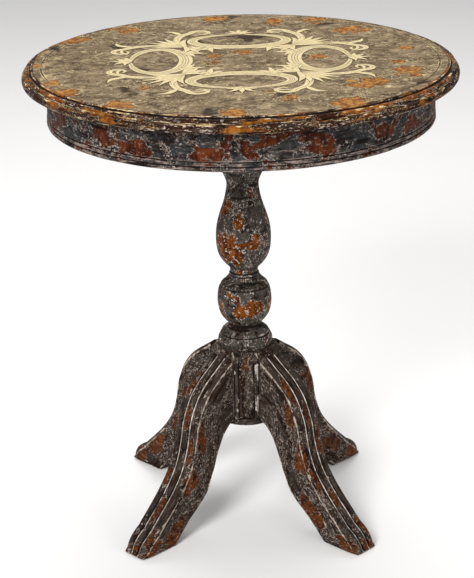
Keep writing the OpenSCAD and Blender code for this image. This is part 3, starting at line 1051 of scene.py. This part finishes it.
@dataclass
class Pillar:
    """The turned pillar: collar, ball, neck, vase and a flare up to the block."""

    body: str = "base"
    segments: int = 144
    tenon_r: float = 18.0
    neck_r: float = 22.0
    ball_r: float = 42.9
    vase_r: float = 43.3
    rubs: tuple[Rub, ...] = (
        # the belly of the vase, its shoulder, and the ball
        *worn_places(6, -120, (42,), (HUB_TOP + 168, HUB_TOP + 182), ((26, 34), (14, 18)), (1.0, 0.8)),
        *worn_places(5, -150, (35,), (HUB_TOP + 236, HUB_TOP + 214), ((13, 32), (12, 22)), (1.0, 0.9)),
        *worn_places(7, -70, (43,), (HUB_TOP + 72, HUB_TOP + 84, HUB_TOP + 64), ((20, 20), (13, 14))))

    def outline(self) -> list[Point]:
        """The outline from the hub's top to the block's underside."""
        z, low_end = HUB_TOP, BLOCK_LOW
        ball, vase, neck = self.ball_r, self.vase_r, self.neck_r
        return [
            (40, z), *oval(39, z + 8.5, 4.4, 8.5, -78, 62),
            (40, z + 19), (37.6, z + 20), (38.4, z + 22), (37.2, z + 24),
            *curve([(34, z + 27), (28, z + 31), (24.8, z + 35)]),
            *curve([(26, z + 37.5), (33, z + 45), (39.4, z + 55), (ball, z + 71),
                    (ball - 0.9, z + 88), (39.6, z + 98)]),
            (37.2, z + 100.5), (37.6, z + 102.5), (36, z + 104.5),
            *curve([(34.6, z + 105.5), (29, z + 111), (23.6, z + 118)]),
            (24, z + 121), (neck, z + 122.5), (neck, z + 131), (24.6, z + 132), (24.6, z + 134),
            *curve([(27, z + 135), (34.6, z + 144), (40.8, z + 157), (vase, z + 178),
                    (vase - 1.6, z + 200), (36, z + 221), (29, z + 243), (25, z + 266),
                    (28, z + 279), (34, z + 291)]),
            (38, z + 295), (38, z + 300), (34, z + 302),
            *curve([(32, z + 306), (29.5, z + 330), (32, low_end - 50), (40, low_end - 24)]),
            *oval(40, low_end - 14, 8, 9, -80, 80),
            (41, low_end)]

    def build(self) -> Piece:
        """Turns the pillar; its upper tenon ends a hair below the wedges, which stand proud."""
        tenon_end = BLOCK_TOP - 0.1
        turning = Turning([
            Stretch([(0, HUB_LOW + 0.1), (self.tenon_r, HUB_LOW + 0.1)], 20, 1),
            Stretch([(self.tenon_r, HUB_LOW + 0.1), (self.tenon_r, HUB_TOP)], 60, 1),
            Stretch([(self.tenon_r, HUB_TOP), (40, HUB_TOP)], 30, 1),
            Stretch(self.outline(), 0.9, 0, moulded=True),
            Stretch([(41, BLOCK_LOW), (self.tenon_r, BLOCK_LOW)], 30, 1),
            Stretch([(self.tenon_r, BLOCK_LOW), (self.tenon_r, tenon_end)], 60, 1),
            Stretch([(self.tenon_r, tenon_end), (0, tenon_end)], 20, 1)],
            self.segments, dent=0.5, dent_size=26, rubs=self.rubs)
        piece = turning.shell().piece("turned_pillar", [
            COLUMN_PAINT.material(),
            PlanedWood("stained_beech_tenon", "#80542f", "#5e3b20", 2).material()])
        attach(piece, self.body)
        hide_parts("pillar")
        return piece


@dataclass
class Hub:
    """The eight-sided hub with two upright beads on each free face, and the turned cap under it."""

    paint: Material
    body: str = "base"
    half_width: float = 55.0
    bead_r: float = 3.8
    bead_x: float = 15.5
    seam: float = 0.9  # half the width of the line of dirt and painted shade beside a bead
    corner: float = 6.0  # how far the corners reach past the faces
    shoulder: float = 16.0  # height of the slope at the top, where the legs run in
    bevel: float = 2.0
    samples: int = 720
    rows: int = 40

    def reach(self, angle: float) -> tuple[float, float]:
        """The hub's surface in a direction.

        Args:
            angle: The direction in radians.

        Returns:
            The distance from the axis, and 1 on the crown of a bead down to 0 off it.
        """
        eighth = math.tau / 8
        flat = self.half_width / math.cos(math.remainder(angle, eighth))
        turn = math.remainder(angle, math.tau / 4)
        for side in (-1, 1):
            centre = Vector((self.half_width - 1, side * self.bead_x))
            heading = Vector((math.cos(turn), math.sin(turn)))
            near = centre.dot(heading)
            left = self.bead_r ** 2 - (centre.length_squared - near * near)
            if left > 0 and near + math.sqrt(left) > flat:
                return near + math.sqrt(left), min(1.0, left / self.bead_r ** 2 * 1.6)
        return flat, 0.0

    def build(self) -> list[Piece]:
        """Carves the hub and turns its cap."""
        return [self.block(), self.cap()]

    def block(self) -> Piece:
        """Carves the hub itself."""
        shell = Shell()
        rise = HUB_TOP - HUB_LOW
        heights = [0.0] + [self.bevel + (rise - self.bevel) * k / self.rows for k in range(self.rows + 1)]
        rings = [[shell.add_point(Vector((0, 0, HUB_LOW + 0.1)))]]
        for up in heights:
            limit = self.half_width + self.corner - max(0.0, up - rise + self.shoulder)
            ring = []
            for k in range(self.samples):
                angle = math.tau * k / self.samples
                far, crown = self.reach(angle)
                cut_off = far > limit
                far = min(far, limit) - (1.0 if up == 0 else 0.0)
                place = Vector((*polar((0, 0), angle, far), HUB_LOW + up))
                across = abs(math.remainder(angle, math.tau / 4)) * far
                seam = abs(abs(across - self.bead_x) - self.bead_r) < self.seam
                # The crown of a bead gets the pale line of wax and painted highlight, the seam beside it
                # dirt and painted shade
                ring.append(shell.add_point(
                    place, Vector((place.z, place.x, place.y)),
                    line=0.55 if crown > 0.8 and not cut_off else 0.0,
                    groove=1.0 if seam and not cut_off else 0.0,
                    arris=0.2 if 0 <= limit - far < 0.5 else 0.0))
            rings.append(ring)
        rings.append([shell.add_point(Vector((0, 0, HUB_TOP)))])
        for first, second in zip(rings, rings[1:]):
            shell.join_rings(first, second)
        piece = shell.piece("carved_hub", [self.paint], 40)
        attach(piece, self.body)
        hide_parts("leg_hub")
        return piece

    def cap(self) -> Piece:
        """Turns the cap; its underside is a hair above the screw heads, which stand proud."""
        foot = low("hub_cap", 2) + 0.1
        turning = Turning([
            Stretch([(0, foot), (44, foot)], 20, 0),
            Stretch([(44, foot), *oval(46, HUB_LOW - 9, 6.5, 7, -75, 70),
                     (49, HUB_LOW - 1.5), (49.5, HUB_LOW)], 0.8, 0, moulded=True),
            Stretch([(49.5, HUB_LOW), (0, HUB_LOW)], 30, 0)], 144, dent=0.4)
        piece = turning.shell().piece("turned_hub_cap", [self.paint])
        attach(piece, self.body)
        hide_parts("hub_cap")
        return piece


@dataclass(frozen=True)
class LegRub:
    """A place on a leg that is worn to the wood."""

    along: float  # millimetres down the back from the hub
    across: float  # millimetres from the leg's middle
    inward: float = 0.0  # millimetres in from the back
    reach: tuple[float, float] = (28.0, 9.0)  # half size along and around the leg
    strength: float = 1.0

    def at(self, along: float, across: float, inward: float) -> float:
        """How strongly this place has worn a point of the leg, from 0 to 1."""
        side = math.hypot(across - self.across, inward - self.inward) / self.reach[1]
        return self.strength * max(0.0, 1.0 - side * side - ((along - self.along) / self.reach[0]) ** 2)


def worn_leg(first: int, toe: float) -> tuple[LegRub, ...]:
    """Worn places down a leg: on its reeds in turn, on both side faces and over the toe.

    Args:
        first: Which reed and which depth of side face come first, so that no two legs are alike.
        toe: How deeply the toe is worn.

    Returns:
        The places.
    """
    reeds = [LegRub(66 + 50 * k, 16 * ((k + first) % 3 - 1), 0, (34 - 6 * (k % 2), 8), 0.95)
             for k in range(6)]
    sides = [LegRub(96 + 78 * k + 12 * first, 24 * side, (24, 14, 38)[(k + first) % 3],
                    (38 - 8 * (k % 2), 19), 1.2) for side in (-1, 1) for k in range(3)]
    ends = [LegRub(336, 24 * side, 14, (34, 18), toe) for side in (-1, 1)]
    return (*reeds, *sides, *ends, LegRub(348, 0, 0, (24, 22), 0.9 * toe))


@dataclass
class CarvedLeg:
    """A splayed leg with three reeds down its back, sawn to shape and carved by hand."""

    node: str
    azimuth: float
    paint: Material
    body: str = "base"
    width: float = 48.0
    root: float = 55.0
    groove: float = 3.6  # depth of the grooves between the reeds
    corner: float = 5.6  # how far the outer reeds fall away to the side faces
    belly_edge: float = 2.6  # how far the belly's edges are rounded off
    deepest: float = 0.45  # the deepest cut as a share of the leg's thickness
    knock: float = 0.45  # depth of the hand tool's marks
    knock_size: float = 24.0
    toe_at: float = 236.0  # distance from the axis where the toe starts to narrow
    toe_length: float = 22.0
    toe_pinch: float = 0.16
    rubs: tuple[LegRub, ...] = ()

    def stations(self) -> list[tuple[Point, Point, float]]:
        """Pairs of points on the leg's back and belly, with the depth of the grooves there."""
        back = curve([(self.root, 277), (75, 263), (100, 245), (121, 221), (136, 188), (142.5, 157),
                      (151, 130), (164, 105), (188, 75.5), (224, 40.5)])
        toe = curve([(227, 38), (238, 31), (249, 22), (256.5, 11), (258.5, 3)])
        arch = curve([(self.root, 169), (66, 162), (78, 148.5), (89, 127), (97, 106), (105, 87.5),
                      (116, 64.5)])
        heel = curve([(116, 64.5), (131, 50.5), (148, 38), (167, 21.5), (188, 0)])
        ankle = 28  # the point of the back over the heel
        pairs: list[tuple[Point, Point, float]] = []
        for rear, belly, count, depths in (
                (back[:ankle + 1], arch, 70, (1.0, 1.0)),
                (back[ankle:], heel, 40, (1.0, 1.05)),
                (toe, [(188, 0), (256, 0)], 26, (1.3, 2.1))):
            first, second = evenly(rear, count), evenly(belly, count)
            for k in range(count):
                if pairs and math.dist(pairs[-1][0], first[k]) < SAME_PLACE:
                    continue
                share = k / (count - 1)
                pairs.append((first[k], second[k], depths[0] + (depths[1] - depths[0]) * share))
        return pairs

    def section(self) -> list[SectionPoint]:
        """One section of the leg, once round.

        Returns:
            For each point its place across the leg, its side, its share or depth there, and its values of
            wear and painted light.
        """
        half = self.width / 2
        reed = self.width / 3
        flank = {"flank": 1.0}
        shares = (0.06, 0.18, 0.34, 0.5, 0.66, 0.82, 0.94)
        rows: list[SectionPoint] = []
        for number in (-1, 0, 1):
            for x in (-1, -0.93, -0.82, -0.6, -0.3, 0, 0.3, 0.6, 0.82, 0.93):
                rows.append(self.back_point(number * reed + x * reed / 2, x, number))
        rows.append(self.back_point(half, 1, 1))
        rows += [(half, "side", 1 - share, flank) for share in shares]
        for across in (1, 0.96, 0.86, 0.5, 0, -0.5, -0.86, -0.96, -1):
            drop = self.belly_edge * max(0.0, (abs(across) - 0.86) / 0.14) ** 2
            worn = {**flank, "arris": 0.6 if abs(across) > 0.95 else 0.0}
            rows.append((across * half, "belly", drop, worn))
        return rows + [(-half, "side", share, flank) for share in shares]

    def back_point(self, across: float, x: float, reed: int) -> SectionPoint:
        """A point on a reed: x is -1 and 1 in its grooves and 0 on its crown."""
        outer = reed != 0 and x * reed > 0
        corner = outer and abs(x) == 1
        beside = abs(x) >= 0.93 and not outer
        drop = (self.corner if outer else self.groove) * abs(x) ** 2.1
        # groove puts dirt and painted shade beside the grooves, line the pale wax and painted highlight in
        # their bottoms
        return (across, "back", drop,
                {"groove": 0.9 if abs(x) == 0.82 and not outer else 0.0,
                 "line": 1.0 if beside else 0.0,
                 "arris": 1.0 if corner else 0.45 if outer and abs(x) == 0.93 else 0.0})

    def through(self, thick: float, deep: float, part: str, amount: float) -> float:
        """How far from the belly a point of the section lies.

        Args:
            thick: The leg's thickness there.
            deep: How deep its grooves are there, as a share of their usual depth.
            part: "back", "belly" or "side".
            amount: The point's depth under the back or over the belly, or its share of the side.

        Returns:
            The distance in millimetres.
        """
        limit = self.deepest * thick
        if part == "back":
            return thick - min(amount * deep, limit)
        if part == "belly":
            return min(amount, limit)
        start = min(self.belly_edge, limit)
        return start + (thick - min(self.corner * deep, limit) - start) * amount

    def build(self) -> Piece:
        """Carves the leg from its stations and dresses it."""
        a = math.radians(self.azimuth)
        out, side = Vector((math.cos(a), math.sin(a), 0)), Vector((-math.sin(a), math.cos(a), 0))
        shell = Shell()
        section = self.section()
        rings: list[list[int]] = []
        run = 0.0
        stations = self.stations()
        for i, (back, belly, deep) in enumerate(stations):
            run += math.dist(back, stations[i - 1][0]) if i else 0.0
            thick = math.dist(back, belly)
            rise = ((back[0] - belly[0]) / thick, (back[1] - belly[1]) / thick)
            ring = []
            for across, part, amount, wear in section:
                through = self.through(thick, deep, part, amount)
                r, z = belly[0] + rise[0] * through, belly[1] + rise[1] * through
                knock = noise.noise(Vector((r, across, z + self.azimuth)) / self.knock_size) * self.knock
                narrow = self.toe_pinch * max(0.0, (r - self.toe_at) / self.toe_length) ** 2
                place = out * r + side * (across * (1 + knock / 24 - narrow)) + Vector((0, 0, max(z, 0.0)))
                rub = max([0.0] + [spot.at(run, across, thick - through) for spot in self.rubs])
                flow = Vector((run + self.azimuth * 7, across, through))  # no two legs have the same paint
                ring.append(shell.add_point(place, flow, rub=rub, **wear))
            rings.append(ring)
        for first, second in zip(rings, rings[1:]):
            shell.join_rings(first, second)
        shell.add_face(reversed(rings[0]))
        shell.add_face(rings[-1])
        piece = shell.piece("carved_" + self.node, [self.paint], 40)
        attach(piece, self.body)
        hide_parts(self.node)
        return piece


# ---- Pieces that keep their machined shape ----


@dataclass(frozen=True)
class Fittings:
    """The hidden wood and the brass and steel fittings, which only need their finish."""

    def dress(self) -> None:
        """Gives each piece its finish."""
        finishes = {
            "tilt_block": PlanedWood("stained_beech_block", "#5f4027", "#422b19", 1),
            "pillar_wedges": PlanedWood("beech_wedge", "#a9794a", "#8b5f37", 2),
            "leg_dowels": PlanedWood("beech_dowel", "#a9794a", "#8b5f37", 2),
            "frieze_glue_blocks": PlanedWood("pine_glue_block", "#a27647", "#85592f", 2),
            "bearer_left": PlanedWood("stained_beech_bearer_left", "#6a472b", "#4a301c", 1),
            "bearer_right": PlanedWood("stained_beech_bearer_right", "#6a472b", "#4a301c", 1),
        }
        brass = DrawnMetal("aged_brass", "#c9a765", "#7a5a2c", (0.28, 0.5))
        steel = DrawnMetal("zinc_plated_steel", "#a8a8aa", "#77736c", (0.35, 0.55))
        for node in ("pivot_pins", "pivot_bushes", "keeper_plate", "keeper_screws", "catch_plate",
                     "catch_screws", "catch_bolt", "catch_knob"):
            finishes[node] = brass
        finishes["hub_cap_screws"] = steel
        finishes["bearer_screws"] = steel
        made: dict[str, Material] = {}
        for node, finish in finishes.items():
            if finish.name not in made:
                made[finish.name] = finish.material()
            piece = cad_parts[node]
            piece.data.materials.clear()
            piece.data.materials.append(made[finish.name])
            log.info("%s: %s", node, finish.name)


# ---- Studio ----


@dataclass(frozen=True)
class Lamp:
    """A soft box."""

    name: str
    place: tuple[float, float, float]  # metres
    size: float
    power: float
    tint: str = "#ffffff"


@dataclass(frozen=True)
class Studio:
    """A pale paper floor, soft boxes and a camera a little above the top, in front of the table."""

    floor_half: float = 14.0
    sky: float = 0.44
    lamps: tuple[Lamp, ...] = (
        Lamp("key_softbox", (-1.3, -2.6, 2.4), 1.3, 100),
        Lamp("fill_softbox", (2.4, -2.2, 1.3), 1.6, 20),
        Lamp("top_softbox", (0.3, 0.9, 2.9), 2.0, 30),
        Lamp("back_softbox", (-0.4, 2.4, 3.8), 2.4, 52),
    )
    lens: float = 112.95
    ground_distance: float = 2.681  # from the pillar's axis to the camera
    height: float = 1.406
    azimuth: float = -90.56
    heading: float = 89.69
    pitch: float = 21.05
    roll: float = -1.12

    def build(self) -> None:
        """Lays the floor, hangs the lamps and sets up the camera."""
        self.lay_floor()
        for lamp in self.lamps:
            self.hang(lamp)
        world = bpy.data.worlds.new("studio_air")
        world.use_nodes = True
        air = world.node_tree.nodes["Background"]
        air.inputs["Color"].default_value = linear("#f4f4f6")
        air.inputs["Strength"].default_value = self.sky
        bpy.context.scene.world = world
        bpy.context.scene.view_settings.view_transform = "Standard"
        self.aim_camera()

    def lay_floor(self) -> None:
        """Lays the paper."""
        half = self.floor_half
        mesh = bpy.data.meshes.new("paper_floor")
        mesh.from_pydata([(-half, -half, 0), (half, -half, 0), (half, half, 0), (-half, half, 0)], [],
                         [(0, 1, 2, 3)])
        mesh.materials.append(StudioPaper().material())
        floor = bpy.data.objects.new("paper_floor", mesh)
        bpy.context.scene.collection.objects.link(floor)
        floor.location.z = -0.0004

    def hang(self, lamp: Lamp) -> None:
        """Hangs a soft box that points at the table."""
        light = bpy.data.lights.new(lamp.name, "AREA")
        light.shape = "DISK"
        light.size = lamp.size
        light.energy = lamp.power
        light.color = linear(lamp.tint)[:3]
        box = bpy.data.objects.new(lamp.name, light)
        bpy.context.scene.collection.objects.link(box)
        aim = Vector((0, 0, TABLE_H * MM * 0.6)) - Vector(lamp.place)
        turn = aim.to_track_quat("-Z", "Y").to_matrix().to_4x4()
        box.matrix_world = Matrix.Translation(lamp.place) @ turn

    def aim_camera(self) -> None:
        """Places the camera from its distance, height, heading, pitch and roll."""
        data = bpy.data.cameras.new("camera")
        data.lens = self.lens
        camera = bpy.data.objects.new("camera", data)
        bpy.context.scene.collection.objects.link(camera)
        a, yaw = math.radians(self.azimuth), math.radians(self.heading)
        pitch, roll = math.radians(self.pitch), math.radians(self.roll)
        ahead = Vector((math.cos(yaw) * math.cos(pitch), math.sin(yaw) * math.cos(pitch), -math.sin(pitch)))
        right = Vector((math.sin(yaw), -math.cos(yaw), 0))
        up = right.cross(ahead)
        level = (right * math.cos(roll) + up * math.sin(roll), up * math.cos(roll) - right * math.sin(roll))
        turn = Matrix((level[0], level[1], -ahead)).transposed()
        place = Vector((*polar((0, 0), a, self.ground_distance), self.height))
        camera.matrix_world = Matrix.Translation(place) @ turn.to_4x4()
        bpy.context.scene.camera = camera


def main() -> None:
    """Builds the table and the studio."""
    logging.basicConfig(level=logging.INFO, format="%(message)s")
    Studio().build()
    RoundTop().build()
    Scrollwork().build()
    Frieze().build()
    Pillar().build()
    leg_paint = LEG_PAINT.material()
    Hub(leg_paint).build()
    for number, (node, azimuth, toe) in enumerate((
            ("leg_front_right", -45, 1.0), ("leg_back_right", 45, 1.5), ("leg_back_left", 135, 1.5),
            ("leg_front_left", 225, 1.0))):
        CarvedLeg(node, azimuth, leg_paint, rubs=worn_leg(number, toe)).build()
    Fittings().dress()


if __name__ == "__main__":
    main()
